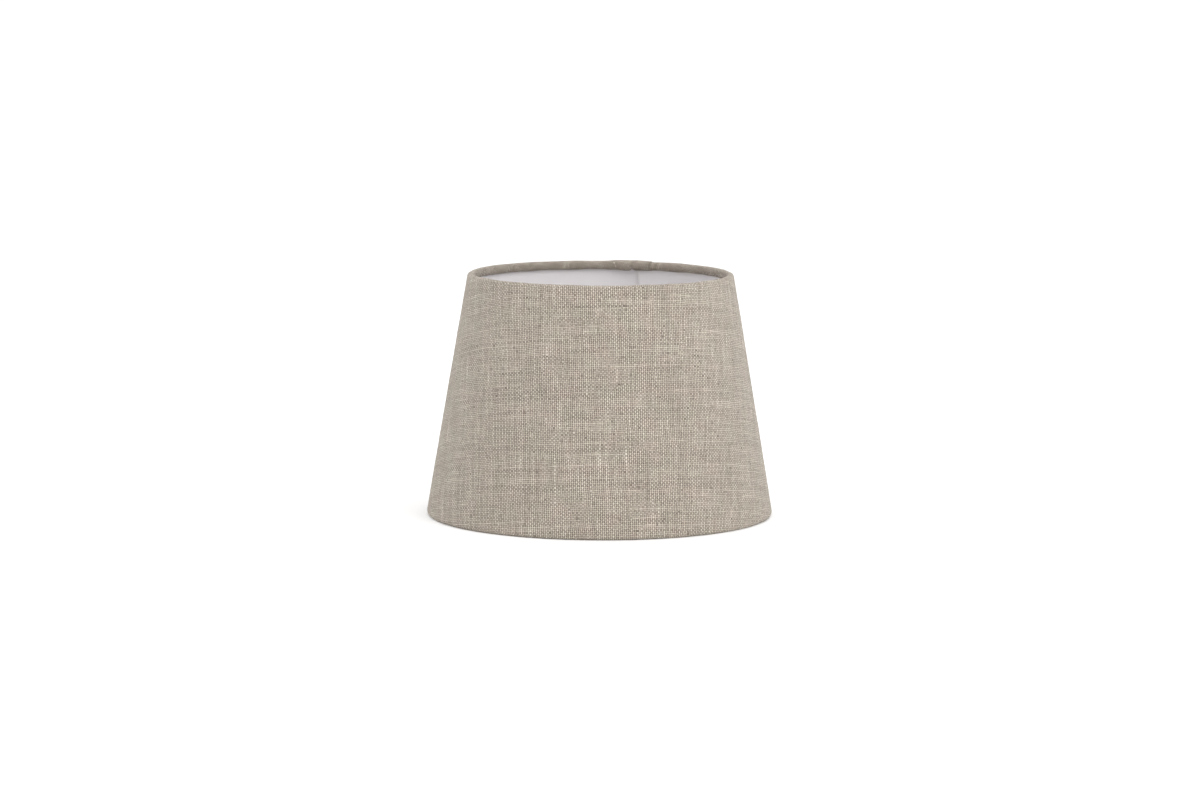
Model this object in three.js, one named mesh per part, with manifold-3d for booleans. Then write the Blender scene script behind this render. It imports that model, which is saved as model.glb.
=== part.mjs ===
// A small tapered lamp shade of natural linen on a stiff lining, rolled over two wire rings,
// with a three-armed lampholder fitter on the lower ring. Millimetres, +Z up, origin at the
// middle of the lower rim; the lapped seam is at the back (+Y).
import * as THREE from "three";
import { mergeVertices } from "three/addons/utils/BufferGeometryUtils.js";
import Module from "manifold-3d";

// The whole shade, over its linen.
const BOTTOM_DIAMETER = 200;
const TOP_DIAMETER = 154;
const HEIGHT = 140;

// The cover: linen laminated to a lining sheet.
const LINEN = 0.65;
const LINING = 0.3;
const LAMINATE_GAP = 0.1;

// The wire rings and the sticky tape round them.
const RING_WIRE_DIAMETER = 2.8;
const RING_TAPE = 0.12;
const TAPE_CLEARANCE = 0.08;
const RING_TAPE_FROM = -15;
const RING_TAPE_TO = 135;

// The edges: the linen goes round each ring and tucks in behind it, clear of the lining.
const TUCK_CLEARANCE = 0.1;
const SHOULDER = 1.5;
const LINING_SETBACK = 0.3;

// The seam, in degrees round the shade: one end lies under the other.
const SEAM_ANGLE = 73.5;
const LAP_ANGLE = 7.5;
const LAP_RISE_ANGLE = 12;
const LAP_LEAD_ANGLE = 4.5;
const LAP_GAP = 0.09;
const ROLL_LAP_GAP = 0.15;
const SEAM_TAPE = 0.1;
const SEAM_TAPE_CLEARANCE = 0.1;
const SEAM_TAPE_INSET_ANGLE = 0.8;
const SEAM_TAPE_END_INSET = 3;

// The fitter: a pressed ring for a screwed lampholder, and three wire arms.
const FITTER_HOLE_DIAMETER = 42;
const FITTER_DIAMETER = 54;
const FITTER_SHEET = 1;
const FITTER_LIP_HEIGHT = 3.5;
const FITTER_LIP_DRAFT = 0.3;
const FITTER_SEAT_HEIGHT = 30;
const ARM_DIAMETER = 2.8;
const ARM_END_LENGTH = 7;
const ARM_BEND_LENGTH = 3;
const ARM_COUNT = 3;
const FIRST_ARM_ANGLE = 30;
const WELD_GAP = 0.2;

// The linen is snipped where each arm passes it.
const SNIP_CLEARANCE = 0.5;
const SNIP_REACH = 0.8;
const SNIP_UNDER_ANGLE = 60;
const SNIP_PAST_TUCK_ANGLE = 5;

// How finely the round shapes are divided.
const FACETS = 60;
const FACET_ANGLE = 360 / FACETS;
const SECTION_STEP = 30;
const FITTER_FACETS = 48;
const ARM_SIDES = 8;
const ARM_STEPS = 16;
const STATION_TOLERANCE = 0.01;

const { degToRad, radToDeg, smoothstep } = THREE.MathUtils;

// Radii round a ring's wire, outwards: wire, tape, then linen.
const WIRE_RADIUS = RING_WIRE_DIAMETER / 2;
const TAPE_INNER_RADIUS = WIRE_RADIUS + TAPE_CLEARANCE;
const TAPE_OUTER_RADIUS = TAPE_INNER_RADIUS + RING_TAPE;
const LINEN_INNER_RADIUS = TAPE_OUTER_RADIUS + TAPE_CLEARANCE;
const ROLL_RADIUS = LINEN_INNER_RADIUS + LINEN;

// A roll's section has a flat at its lowest and highest point, this far from the ring's centre.
const ROLL_FLAT = ROLL_RADIUS * Math.cos(degToRad(SECTION_STEP / 2));

// The ring centres, as (radius, height), and the straight wall between them.
const bottomCentre = new THREE.Vector2(BOTTOM_DIAMETER / 2 - ROLL_RADIUS, ROLL_FLAT);
const topCentre = new THREE.Vector2(TOP_DIAMETER / 2 - ROLL_RADIUS, HEIGHT - ROLL_FLAT);
const WALL_LENGTH = bottomCentre.distanceTo(topCentre);
const WALL_LEAN = radToDeg(
  Math.atan2(bottomCentre.x - topCentre.x, topCentre.y - bottomCentre.y),
);

// How far the layers stand from the line between the ring centres.
const LINING_OUTER = LINEN_INNER_RADIUS - LAMINATE_GAP;
const LINING_INNER = LINING_OUTER - LINING;

// The lap: on the wall the upper end clears the lower end and the tape between them; round the
// top roll it clears the lower end alone; round the bottom roll both ends are pressed to half.
const LAP_RISE = ROLL_RADIUS - LINING_INNER + SEAM_TAPE + 2 * SEAM_TAPE_CLEARANCE;
const TOP_LAP_RISE = LINEN + ROLL_LAP_GAP;
const PRESSED_LINEN = (LINEN - LAP_GAP) / 2;

// How far round the ring the linen goes before it would meet the lining.
const TUCK_SWEEP =
  360 - radToDeg(Math.acos((LINING_INNER - TUCK_CLEARANCE) / (ROLL_RADIUS + TOP_LAP_RISE)));

const wasm = await Module();
wasm.setup();

// A point of the wall's section, from how far along the wall it is and how far out.
function wallPoint(along, out) {
  const lean = degToRad(WALL_LEAN);
  return new THREE.Vector2(
    bottomCentre.x - along * Math.sin(lean) + out * Math.cos(lean),
    bottomCentre.y + along * Math.cos(lean) + out * Math.sin(lean),
  );
}

// A point of a section round a ring's centre.
function aroundPoint(centre, radius, angle) {
  const turn = degToRad(angle);
  return new THREE.Vector2(
    centre.x + radius * Math.cos(turn),
    centre.y + radius * Math.sin(turn),
  );
}

// Angles from one to the other, with the stations that all sections share in between.
function sectionAngles(from, to) {
  const angles = [from];
  for (let k = Math.ceil(from / SECTION_STEP - 0.5); (k + 0.5) * SECTION_STEP < to; k++) {
    const station = (k + 0.5) * SECTION_STEP;
    if (station > from + 1 && station < to - 1) {
      angles.push(station);
    }
  }
  angles.push(to);
  return angles;
}

// Places a section's point round the shade, on the flats of its many-sided plan.
function placed(point, angle) {
  const fromFlat = angle - (Math.floor(angle / FACET_ANGLE) + 0.5) * FACET_ANGLE;
  const radius =
    (point.x * Math.cos(degToRad(FACET_ANGLE / 2))) / Math.cos(degToRad(fromFlat));
  const turn = degToRad(angle);
  return [radius * Math.cos(turn), radius * Math.sin(turn), point.y];
}

// Where a strip has its sections: its two ends, any extra places, and each edge of the plan.
// The strip starts at the seam and runs clockwise, seen from above.
function stripStations(from, to, extra = []) {
  const stations = [from, to, ...extra];
  const firstEdge = Math.floor((SEAM_ANGLE - from) / FACET_ANGLE) * FACET_ANGLE;
  for (let edge = firstEdge; SEAM_ANGLE - edge < to; edge -= FACET_ANGLE) {
    stations.push(SEAM_ANGLE - edge);
  }
  stations.sort((a, b) => a - b);
  return stations.filter((s, i) => i === 0 || s - stations[i - 1] > STATION_TOLERANCE);
}

// A strip round the shade, from one closed section for each station.
function stripGeometry(stations, sectionAt) {
  const sections = stations.map((station) => sectionAt(station));
  const count = sections[0].length;
  const positions = sections.flatMap((section, j) =>
    section.flatMap((point) => placed(point, SEAM_ANGLE - stations[j])),
  );
  const index = [];
  for (let j = 0; j + 1 < stations.length; j++) {
    for (let i = 0; i < count; i++) {
      const here = j * count + i;
      const above = j * count + ((i + 1) % count);
      index.push(here + count, here, above, here + count, above, above + count);
    }
  }
  const last = (stations.length - 1) * count;
  for (const [a, b, c] of THREE.ShapeUtils.triangulateShape(sections[0], [])) {
    index.push(a, c, b);
  }
  for (const [a, b, c] of THREE.ShapeUtils.triangulateShape(sections.at(-1), [])) {
    index.push(last + a, last + b, last + c);
  }
  const geometry = new THREE.BufferGeometry();
  geometry.setAttribute("position", new THREE.Float32BufferAttribute(positions, 3));
  geometry.setIndex(index);
  return geometry;
}

// How much a place on the strip is part of the upper end of the seam, from 0 to 1.
function overlying(station) {
  const top = 360 - LAP_LEAD_ANGLE;
  return smoothstep(station, top - LAP_RISE_ANGLE, top);
}

// How much it is part of the lower end.
function underlying(station) {
  return 1 - smoothstep(station, LAP_ANGLE, LAP_ANGLE + LAP_RISE_ANGLE);
}

// One face of the linen in section, up the outside: round the bottom ring, up the wall, and
// round the top ring.
function linenFace(bottomRadius, wallOut, topRadius) {
  return [
    ...sectionAngles(WALL_LEAN - TUCK_SWEEP, WALL_LEAN).map((angle) =>
      aroundPoint(bottomCentre, bottomRadius, angle),
    ),
    wallPoint(SHOULDER, wallOut),
    wallPoint(WALL_LENGTH - SHOULDER, wallOut),
    ...sectionAngles(WALL_LEAN, WALL_LEAN + TUCK_SWEEP).map((angle) =>
      aroundPoint(topCentre, topRadius, angle),
    ),
  ];
}

function linenSection(station) {
  const over = overlying(station);
  const under = underlying(station);
  const pressed = LINEN - PRESSED_LINEN;
  const outer = linenFace(
    ROLL_RADIUS - under * pressed,
    ROLL_RADIUS + over * LAP_RISE,
    ROLL_RADIUS + over * TOP_LAP_RISE,
  );
  const inner = linenFace(
    LINEN_INNER_RADIUS + over * pressed,
    LINEN_INNER_RADIUS + over * LAP_RISE,
    LINEN_INNER_RADIUS + over * TOP_LAP_RISE,
  );
  return [...outer, ...inner.reverse()];
}

// A flat sheet in section, between two distances from the line between the ring centres.
function sheetSection(fromAlong, toAlong, inner, outer) {
  return [
    wallPoint(fromAlong, outer),
    wallPoint(toAlong, outer),
    wallPoint(toAlong, inner),
    wallPoint(fromAlong, inner),
  ];
}

function liningSection(station) {
  const rise = overlying(station) * LAP_RISE;
  const edge = SHOULDER + LINING_SETBACK;
  return sheetSection(edge, WALL_LENGTH - edge, LINING_INNER + rise, LINING_OUTER + rise);
}

function solidOf(geometry) {
  const bare = geometry.clone();
  bare.deleteAttribute("normal");
  bare.deleteAttribute("uv");
  const merged = mergeVertices(bare, 1e-4);
  return new wasm.Manifold(
    new wasm.Mesh({
      numProp: 3,
      vertProperties: merged.attributes.position.array,
      triVerts: new Uint32Array(merged.index.array),
    }),
  );
}

function geometryOf(solid) {
  const { vertProperties, triVerts } = solid.getMesh();
  const geometry = new THREE.BufferGeometry();
  geometry.setAttribute("position", new THREE.BufferAttribute(vertProperties, 3));
  geometry.setIndex(new THREE.BufferAttribute(triVerts, 1));
  return geometry;
}

// The arm's weld and its bend, as (radius, height). The arm points at the bottom ring's centre.
const ARM_INNER_END = FITTER_DIAMETER / 2 + FITTER_LIP_DRAFT + WELD_GAP;
const ARM_END_HEIGHT = FITTER_SEAT_HEIGHT + FITTER_SHEET - FITTER_LIP_HEIGHT / 2;
const armBend = new THREE.Vector2(ARM_INNER_END + ARM_END_LENGTH, ARM_END_HEIGHT);
const ARM_SLOPE = radToDeg(
  Math.atan2(armBend.y - bottomCentre.y, bottomCentre.x - armBend.x),
);

function armAngle(number) {
  return FIRST_ARM_ANGLE + (number * 360) / ARM_COUNT;
}

// The cut that lets one arm through the turned-in linen: a slice of the roll, from below the
// arm to past the linen's tucked edge.
function snipSolid(number) {
  const from = WALL_LEAN - TUCK_SWEEP + 360 - SNIP_PAST_TUCK_ANGLE;
  const to = 180 - ARM_SLOPE + SNIP_UNDER_ANGLE;
  const rim = sectionAngles(from, to).map((angle) =>
    aroundPoint(bottomCentre, ROLL_RADIUS + SNIP_REACH, angle),
  );
  const shape = new THREE.Shape([bottomCentre, ...rim]);
  const depth = ARM_DIAMETER + 2 * SNIP_CLEARANCE;
  const geometry = new THREE.ExtrudeGeometry(shape, { depth, bevelEnabled: false });
  geometry.rotateX(Math.PI / 2);
  geometry.translate(0, depth / 2, 0);
  geometry.rotateZ(degToRad(armAngle(number)));
  return solidOf(geometry);
}

function linenCoverGeometry() {
  const marks = [
    LAP_ANGLE,
    LAP_ANGLE + LAP_RISE_ANGLE,
    360 - LAP_LEAD_ANGLE - LAP_RISE_ANGLE,
    360 - LAP_LEAD_ANGLE,
  ];
  let cover = solidOf(stripGeometry(stripStations(0, 360 + LAP_ANGLE, marks), linenSection));
  for (let number = 0; number < ARM_COUNT; number++) {
    cover = cover.subtract(snipSolid(number));
  }
  return geometryOf(cover);
}

function liningPanelGeometry() {
  const marks = [360 - LAP_LEAD_ANGLE - LAP_RISE_ANGLE, 360 - LAP_LEAD_ANGLE];
  return stripGeometry(stripStations(0, 360 + LAP_ANGLE, marks), liningSection);
}

// The double-sided tape that holds the lap shut.
function seamTapeGeometry() {
  const inner = ROLL_RADIUS + SEAM_TAPE_CLEARANCE;
  const edge = SHOULDER + SEAM_TAPE_END_INSET;
  const stations = stripStations(SEAM_TAPE_INSET_ANGLE, LAP_ANGLE - SEAM_TAPE_INSET_ANGLE);
  return stripGeometry(stations, () =>
    sheetSection(edge, WALL_LENGTH - edge, inner, inner + SEAM_TAPE),
  );
}

// A closed (radius, height) outline turned about the shade's axis.
function turned(outline, facets) {
  const geometry = new THREE.LatheGeometry([...outline, outline[0]], facets);
  geometry.rotateX(Math.PI / 2);
  return geometry;
}

function ringGeometry(centre) {
  const outline = [];
  for (let k = 0; k < 360 / SECTION_STEP; k++) {
    outline.push(aroundPoint(centre, WIRE_RADIUS, (k + 0.5) * SECTION_STEP));
  }
  return turned(outline, FACETS);
}

// The tape covers the side of the ring that the linen rolls over.
function ringTapeGeometry(centre, side) {
  const angles = [];
  for (let angle = RING_TAPE_FROM; angle <= RING_TAPE_TO; angle += SECTION_STEP) {
    angles.push(side * angle);
  }
  const outer = angles.map((angle) => aroundPoint(centre, TAPE_OUTER_RADIUS, angle));
  const inner = angles.map((angle) => aroundPoint(centre, TAPE_INNER_RADIUS, angle));
  const outline = [...outer, ...inner.reverse()];
  if (side < 0) {
    outline.reverse();
  }
  return turned(outline, FACETS);
}

// A flat washer with a turned-down lip that flares a little.
function fitterRingGeometry() {
  const hole = FITTER_HOLE_DIAMETER / 2;
  const rim = FITTER_DIAMETER / 2;
  const seat = FITTER_SEAT_HEIGHT;
  const face = seat + FITTER_SHEET;
  const lip = face - FITTER_LIP_HEIGHT;
  const outline = [
    [hole, seat],
    [rim - FITTER_SHEET, seat],
    [rim - FITTER_SHEET + FITTER_LIP_DRAFT, lip],
    [rim + FITTER_LIP_DRAFT, lip],
    [rim, face],
    [hole, face],
  ].map(([radius, height]) => new THREE.Vector2(radius, height));
  return turned(outline, FITTER_FACETS);
}

// One arm, at angle 0: from its weld on the ring, straight up to the bend, then level to the lip.
function fitterArmGeometry() {
  const ringEnd = aroundPoint(bottomCentre, WIRE_RADIUS + WELD_GAP, 180 - ARM_SLOPE);
  const beforeBend = aroundPoint(armBend, ARM_BEND_LENGTH, -ARM_SLOPE);
  const afterBend = new THREE.Vector2(armBend.x - ARM_BEND_LENGTH, armBend.y);
  const lipEnd = new THREE.Vector2(ARM_INNER_END, ARM_END_HEIGHT);
  const inPlane = ({ x, y }) => new THREE.Vector3(x, 0, y);
  const path = new THREE.CurvePath();
  path.add(new THREE.LineCurve3(inPlane(ringEnd), inPlane(beforeBend)));
  path.add(
    new THREE.QuadraticBezierCurve3(
      inPlane(beforeBend),
      inPlane(armBend),
      inPlane(afterBend),
    ),
  );
  path.add(new THREE.LineCurve3(inPlane(afterBend), inPlane(lipEnd)));
  const section = new THREE.Shape();
  section.absarc(0, 0, ARM_DIAMETER / 2, 0, 2 * Math.PI, false);
  return new THREE.ExtrudeGeometry(section, {
    steps: ARM_STEPS,
    curveSegments: ARM_SIDES / 2,
    bevelEnabled: false,
    extrudePath: path,
  });
}

const shade = new THREE.Group();

function addPart(name, geometry, color, roughness, metalness = 0) {
  const material = new THREE.MeshStandardMaterial({ color, roughness, metalness });
  const mesh = new THREE.Mesh(geometry, material);
  mesh.name = name;
  shade.add(mesh);
  return mesh;
}

addPart("linen_cover", linenCoverGeometry(), 0xb0a699, 0.95);
addPart("lining_panel", liningPanelGeometry(), 0xf2f0ef, 0.45);
addPart("seam_tape", seamTapeGeometry(), 0xe6dfcf, 0.4);
addPart("top_ring", ringGeometry(topCentre), 0xe9e8e4, 0.4, 0.1);
addPart("top_ring_tape", ringTapeGeometry(topCentre, 1), 0xe6dfcf, 0.6);
addPart("bottom_ring", ringGeometry(bottomCentre), 0xe9e8e4, 0.4, 0.1);
addPart("bottom_ring_tape", ringTapeGeometry(bottomCentre, -1), 0xe6dfcf, 0.6);
addPart("fitter_ring", fitterRingGeometry(), 0xe9e8e4, 0.35, 0.1);
for (let number = 0; number < ARM_COUNT; number++) {
  const arm = addPart(`fitter_arm_${number + 1}`, fitterArmGeometry(), 0xe9e8e4, 0.35, 0.1);
  arm.rotation.z = degToRad(armAngle(number));
}

export default shade;
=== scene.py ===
# The looks of a small tapered lamp shade: coarse natural linen on a white lining, rolled over
# two wire rings and lapped at the back, with a pressed ring fitter on three wire arms.
# Metres, +Z up, origin at the middle of the lower rim, the seam at the back (+Y).
import math

import bpy
import numpy as np
from bpy.props import FloatProperty, FloatVectorProperty, PointerProperty
from bpy.types import Operator, Panel, PropertyGroup
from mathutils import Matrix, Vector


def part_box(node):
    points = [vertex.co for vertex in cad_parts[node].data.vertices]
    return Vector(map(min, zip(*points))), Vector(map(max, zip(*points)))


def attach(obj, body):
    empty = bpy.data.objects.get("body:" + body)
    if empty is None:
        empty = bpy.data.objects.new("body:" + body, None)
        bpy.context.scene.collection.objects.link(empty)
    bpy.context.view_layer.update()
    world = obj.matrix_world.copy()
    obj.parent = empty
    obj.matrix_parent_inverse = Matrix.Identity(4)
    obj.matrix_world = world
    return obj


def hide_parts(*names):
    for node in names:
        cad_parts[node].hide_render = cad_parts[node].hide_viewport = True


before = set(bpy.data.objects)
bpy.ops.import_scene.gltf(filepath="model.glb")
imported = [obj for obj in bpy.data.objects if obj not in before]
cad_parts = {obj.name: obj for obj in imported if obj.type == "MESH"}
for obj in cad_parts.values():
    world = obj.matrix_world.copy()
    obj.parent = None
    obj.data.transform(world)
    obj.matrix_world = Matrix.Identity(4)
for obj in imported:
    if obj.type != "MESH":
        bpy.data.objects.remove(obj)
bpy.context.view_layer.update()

bl_info = {
    "name": "Tapered Linen Lamp Shade",
    "version": (1, 0, 0),
    "blender": (4, 5, 0),
    "location": "3D View > Sidebar > Lamp Shade",
    "description": "Builds a rolled-edge linen lamp shade round its packed frame",
    "category": "Object",
}

BODY = "root"
MILLIMETRE = 0.001
FULL_TURN = 360.0
FRAME_WIRE_SIDES = 12


def frame_ring(node):
    """Radius and height of a ring's centre line, and its wire's radius, from its many-sided node.

    Flats of the wire's section lie at its top and bottom, so half the node's height is the
    wire's radius times the cosine of half a side's angle.
    """
    low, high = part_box(node)
    flat = (high.z - low.z) / 2
    wire = flat / math.cos(math.pi / FRAME_WIRE_SIDES)
    return high.x - flat, (low.z + high.z) / 2, wire


def frame_radii(node):
    """The smallest and largest distance of a node's corners from the upright axis."""
    corners = np.array([v.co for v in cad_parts[node].data.vertices])
    reach = np.hypot(corners[:, 0], corners[:, 1])
    return reach.min(), reach.max()


LOWER_RING_RADIUS, LOWER_RING_HEIGHT, WIRE_RADIUS = frame_ring("bottom_ring")
UPPER_RING_RADIUS, UPPER_RING_HEIGHT, _ = frame_ring("top_ring")
FITTER_HOLE_RADIUS, FITTER_LIP_RADIUS = frame_radii("fitter_ring")
FITTER_LOW, FITTER_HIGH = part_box("fitter_ring")

# How far from the axis a shade nut rubs the fitter's face.
NUT_REACH = FITTER_HOLE_RADIUS + 3.5 * MILLIMETRE

# The linen's and the lining's places in the flat cloth, and how far each place is rolled, more at
# the pinch, which the linen's material darkens as painted shade.
FLAT_PATTERN = "flat_pattern"
ROLL_AND_PINCH_SHADE = "rolled"


# Sizes and colours ---------------------------------------------------------------------------


def length(name, description, default):
    """A length property, in metres."""
    return FloatProperty(
        name=name,
        description=description,
        default=default,
        min=0.0,
        unit="LENGTH",
        precision=5,
    )


def angle(name, description, degrees):
    """An angle property, given in degrees."""
    return FloatProperty(
        name=name,
        description=description,
        default=math.radians(degrees),
        unit="ROTATION",
    )


def colour(name, description, default):
    """A linear colour property."""
    return FloatVectorProperty(
        name=name,
        description=description,
        default=default,
        size=3,
        min=0.0,
        max=1.0,
        subtype="COLOR",
    )


class ShadeSizes(PropertyGroup):
    """The rings, the layers of the cover, and its seam."""

    lower_radius: length(
        "Lower ring radius", "Axis to the wire's centre", LOWER_RING_RADIUS
    )
    lower_height: length(
        "Lower ring height", "Rim to the wire's centre", LOWER_RING_HEIGHT
    )
    upper_radius: length(
        "Upper ring radius", "Axis to the wire's centre", UPPER_RING_RADIUS
    )
    upper_height: length(
        "Upper ring height", "Rim to the wire's centre", UPPER_RING_HEIGHT
    )
    wire: length("Wire radius", "Radius of both rings' wire", WIRE_RADIUS)
    roll: length(
        "Roll radius", "Ring centre to the linen's outside", LOWER_RING_HEIGHT
    )
    linen: length("Linen thickness", "Thickness of the linen", 0.62 * MILLIMETRE)
    lining: length(
        "Lining thickness", "Thickness of the lining sheet", 0.3 * MILLIMETRE
    )
    laminate: length(
        "Laminate gap", "Glue line between linen and lining", 0.07 * MILLIMETRE
    )
    tuck: angle("Tuck", "How far round each ring the linen goes", 292)
    hang: length(
        "Roll fullness", "How far the turned-in linen hangs under", 0.75 * MILLIMETRE
    )
    seam: angle("Seam direction", "Where the inner end of the cover lies", 73.5)
    lap: angle("Lap", "How far the outer end passes the inner end", 7.5)
    lap_rise: length(
        "Lap rise", "How far the outer end stands off on the wall", 1.35 * MILLIMETRE
    )
    roll_rise: length(
        "Lap rise on the roll", "The same round the upper ring", 0.54 * MILLIMETRE
    )
    snip: length("Snip width", "Width of the cut that lets an arm out", 3.8 * MILLIMETRE)


class FitterSizes(PropertyGroup):
    """The pressed ring and its arms."""

    hole: length("Hole radius", "Radius of the lampholder's hole", FITTER_HOLE_RADIUS)
    lip: length("Lip radius", "Radius at the lip's lower edge", FITTER_LIP_RADIUS)
    sheet: length("Sheet", "Thickness of the pressed sheet", 1.0 * MILLIMETRE)
    top: length("Top height", "Rim of the shade to the upper face", FITTER_HIGH.z)
    foot: length("Lip height", "Rim of the shade to the lip's lower edge", FITTER_LOW.z)
    arm: length("Arm radius", "Radius of the arms' wire", WIRE_RADIUS)
    level: length("Level end", "Length of an arm's level end", 7.0 * MILLIMETRE)
    first: angle("First arm", "Direction of the first arm", 30)


class ClothLook(PropertyGroup):
    """The weave and the colours of the linen."""

    warp: length("Warp pitch", "Spacing of the upright threads", 1.125 * MILLIMETRE)
    weft: length("Weft pitch", "Spacing of the level threads", 1.02 * MILLIMETRE)
    grain: angle("Grain direction", "Where the upright threads are plumb", -82.5)
    # Dark flax colours real dark fibres and also the painted shade in the gaps between threads;
    # the light and bleached stops also take the crests' painted highlights.
    dark: colour("Dark flax", "Gaps and dark fibres", (0.1, 0.078, 0.058))
    middle: colour("Flax", "The cloth's usual colour", (0.272, 0.233, 0.194))
    light: colour("Light flax", "The pale threads", (0.58, 0.518, 0.44))
    bleached: colour("Bleached flax", "The palest fibres", (0.76, 0.71, 0.63))


class FinishLook(PropertyGroup):
    """The colours of the lining, the steel, the tape and the stage."""

    lining: colour("Lining", "The white sheet inside", (0.87, 0.845, 0.86))
    steel: colour("Powder coat", "The coat on the rings and the fitter", (0.8, 0.8, 0.78))
    tape: colour("Tape", "The double-sided tape", (0.74, 0.7, 0.58))
    floor: colour("Floor", "The pale floor", (0.96, 0.96, 0.96))


# Surfaces ------------------------------------------------------------------------------------


def smooth_step(x, low, high):
    """Nought up to low and one from high, and 3t^2 - 2t^3 in between."""
    t = np.clip((x - low) / (high - low), 0.0, 1.0)
    return t * t * (3.0 - 2.0 * t)


def bump(x, middle, width):
    """One at middle, dying away as exp(-d^2), with d in widths."""
    return np.exp(-(((x - middle) / width) ** 2))


def patches(u, v, seed):
    """Smooth random hills between -1 and 1.

    Random values stand on the whole numbers of u and v, and each square between four of them
    is filled by their mean, weighted by 3t^2 - 2t^3 across it each way.
    """
    size = 256
    table = np.random.default_rng(seed).uniform(-1.0, 1.0, (size, size))
    column = np.floor(u).astype(int)
    row = np.floor(v).astype(int)
    across = smooth_step(u - column, 0.0, 1.0)
    up = smooth_step(v - row, 0.0, 1.0)
    low = table[column % size, row % size] * (1.0 - across)
    low = low + table[(column + 1) % size, row % size] * across
    high = table[column % size, (row + 1) % size] * (1.0 - across)
    high = high + table[(column + 1) % size, (row + 1) % size] * across
    return low * (1.0 - up) + high * up


def wall_lean(sizes):
    """The wall's angle from upright, in radians."""
    inwards = sizes.lower_radius - sizes.upper_radius
    return math.atan2(inwards, sizes.upper_height - sizes.lower_height)


def wall_length(sizes):
    """The length of the wall between the two ring centres."""
    inwards = sizes.lower_radius - sizes.upper_radius
    return math.hypot(inwards, sizes.upper_height - sizes.lower_height)


def section_points(sizes, climb, turn, out):
    """Radius and height of points of the cover's section.

    A point's foot is on the line between the ring centres, climb along it from the lower
    centre. The point stands out from that foot, along the wall's outward normal turned by
    turn, which is nought on the wall and grows round the ring.
    """
    lean = wall_lean(sizes)
    radius = sizes.lower_radius - climb * math.sin(lean) + out * np.cos(lean + turn)
    height = sizes.lower_height + climb * math.cos(lean) + out * np.sin(lean + turn)
    return radius, height


def round_the_shade(radius, height, direction):
    """Cartesian points, from radius, height and the direction round the upright axis."""
    return np.stack(
        [radius * np.cos(direction), radius * np.sin(direction), height], axis=-1
    )


def flat_coordinates(sizes, direction, distance, grain):
    """Where a point of the cover lies in the flat cloth, before it was rolled up.

    The wall is part of a cone, which opens flat into a ring-shaped cut. Its distance from the
    cone's apex is kept, and its direction round the shade is multiplied by the sine of the
    wall's lean. Distance is measured along the cloth, up from the lower ring's centre.
    """
    lean = wall_lean(sizes)
    apex = (sizes.lower_radius + sizes.roll * math.cos(lean)) / math.sin(lean)
    reach = apex - distance
    opened = (direction - grain) * math.sin(lean)
    return np.stack([reach * np.sin(opened), reach * np.cos(opened)], axis=-1)


def grid_faces(rows, columns, rows_close, columns_close):
    """The quads of a grid of points, as an array of rows, columns and four corners.

    Rows run one way and columns the other; a direction that closes joins its last line to its
    first. Seen from where both numbers grow anticlockwise, the corners go clockwise.
    """
    row = np.arange(rows if rows_close else rows - 1)
    column = np.arange(columns if columns_close else columns - 1)
    row, column = np.meshgrid(row, column, indexing="ij")
    next_row = (row + 1) % rows
    next_column = (column + 1) % columns
    corners = [
        row * columns + column,
        row * columns + next_column,
        next_row * columns + next_column,
        next_row * columns + column,
    ]
    return np.stack(corners, axis=-1)


def rounded_outline(corners, radii, steps=6):
    """A closed outline with its corners rounded.

    At each corner an arc of the given radius touches both sides. It starts and ends at the
    radius over the tangent of half the corner's angle, and its centre is on the bisector.
    """
    corners = np.asarray(corners, float)
    before = np.roll(corners, 1, axis=0) - corners
    after = np.roll(corners, -1, axis=0) - corners
    before /= np.linalg.norm(before, axis=1, keepdims=True)
    after /= np.linalg.norm(after, axis=1, keepdims=True)
    half = np.arccos(np.clip(np.sum(before * after, axis=1), -1.0, 1.0)) / 2.0
    radii = np.asarray(radii, float)
    bisector = before + after
    bisector /= np.linalg.norm(bisector, axis=1, keepdims=True)
    centre = corners + bisector * (radii / np.sin(half))[:, None]
    start = corners + before * (radii / np.tan(half))[:, None] - centre
    end = corners + after * (radii / np.tan(half))[:, None] - centre
    share_round = np.linspace(0.0, 1.0, steps + 1)[None, :, None]
    sweep = (np.pi - 2.0 * half)[:, None, None]
    weight_start = np.sin((1.0 - share_round) * sweep) / np.sin(sweep)
    weight_end = np.sin(share_round * sweep) / np.sin(sweep)
    arcs = start[:, None] * weight_start + end[:, None] * weight_end
    return (centre[:, None] + arcs).reshape(-1, 2)


# Meshes --------------------------------------------------------------------------------------


def new_piece(name, points, faces, material, stands_for, uv=None, flat_from=None):
    """A mesh object from points and faces, on the shade's body and in its material.

    Faces from number flat_from on are shaded flat. A uv holds one pair for each point.
    """
    mesh = bpy.data.meshes.new(name)
    mesh.from_pydata(points.tolist(), [], faces)
    if mesh.validate():
        raise RuntimeError(f"{name} has faces that make no sense")
    smooth = np.ones(len(mesh.polygons), dtype=bool)
    if flat_from is not None:
        smooth[flat_from:] = False
    mesh.polygons.foreach_set("use_smooth", smooth)
    if uv is not None:
        corner_points = np.empty(len(mesh.loops), dtype=np.int32)
        mesh.loops.foreach_get("vertex_index", corner_points)
        layer = mesh.uv_layers.new(name=FLAT_PATTERN)
        layer.data.foreach_set("uv", uv[corner_points].astype(np.float32).ravel())
    mesh.materials.append(material)
    piece = bpy.data.objects.new(name, mesh)
    bpy.context.scene.collection.objects.link(piece)
    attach(piece, BODY)
    if stands_for:
        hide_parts(*stands_for)
    return piece


def without_spare_points(points, faces):
    """The points that faces use, in their old order, and the faces with the new numbers."""
    corners = np.concatenate([np.asarray(face).ravel() for face in faces])
    used = np.zeros(len(points), dtype=bool)
    used[corners] = True
    number = np.cumsum(used) - 1
    return used, [number[np.asarray(face)] for face in faces]


# The cover -----------------------------------------------------------------------------------

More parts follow.
